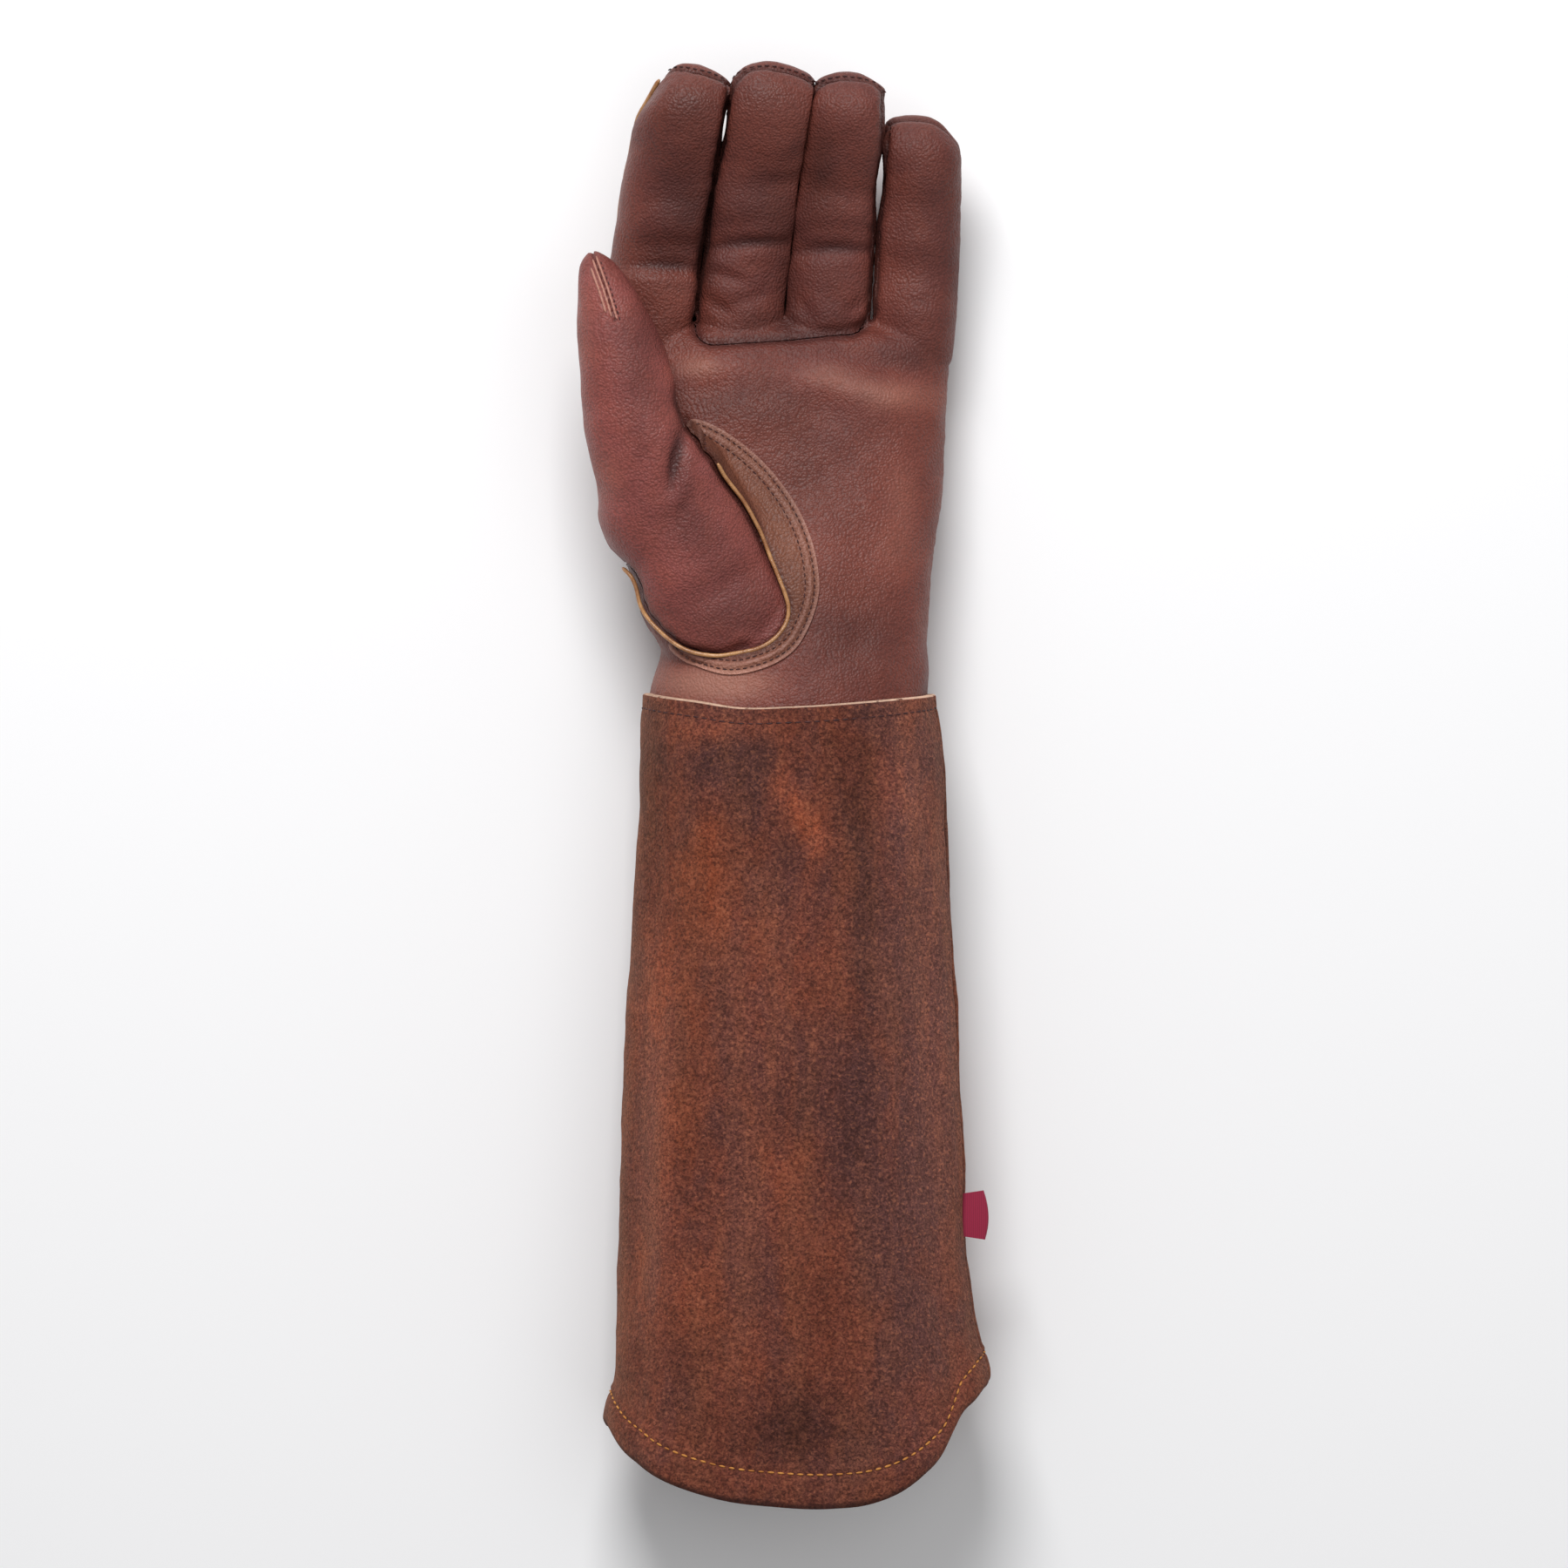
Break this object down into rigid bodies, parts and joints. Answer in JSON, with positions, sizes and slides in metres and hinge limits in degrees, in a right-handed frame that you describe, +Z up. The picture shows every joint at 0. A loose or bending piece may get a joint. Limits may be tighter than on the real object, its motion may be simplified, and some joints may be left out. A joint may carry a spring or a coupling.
{
  "type": "pruning gauntlet",
  "caption": "Left-hand leather work glove with an elbow-length suede gauntlet, an inset thumb and separate finger side pieces, lying palm up with its fingers curled.",
  "frame": {"origin": "the middle of the bounding box's base, on the surface that the glove lies on", "axes": "+Y from the gauntlet's mouth to the fingertips, +Z up out of the palm, -X to the thumb side"},
  "size_m": [0.1324, 0.4618, 0.0768],
  "materials": {
    "grain_leather": "soft grain leather with a low sheen",
    "split_suede": "napped split suede",
    "piping": "thin tan leather welt",
    "ribbon": "woven ribbon"
  },
  "bodies": {
    "root": {"palm": "grain_leather", "middle_finger_fronts": "grain_leather", "back": "grain_leather", "fourchette_index_middle": "grain_leather", "fourchette_middle_ring": "grain_leather", "fourchette_ring_little": "grain_leather", "thumb": "grain_leather", "thumb_patch": "grain_leather", "thumb_welt": "piping", "back_welt": "piping", "cuff_front": "split_suede", "cuff_back": "split_suede", "tab": "ribbon"}
  },
  "joints": []
}
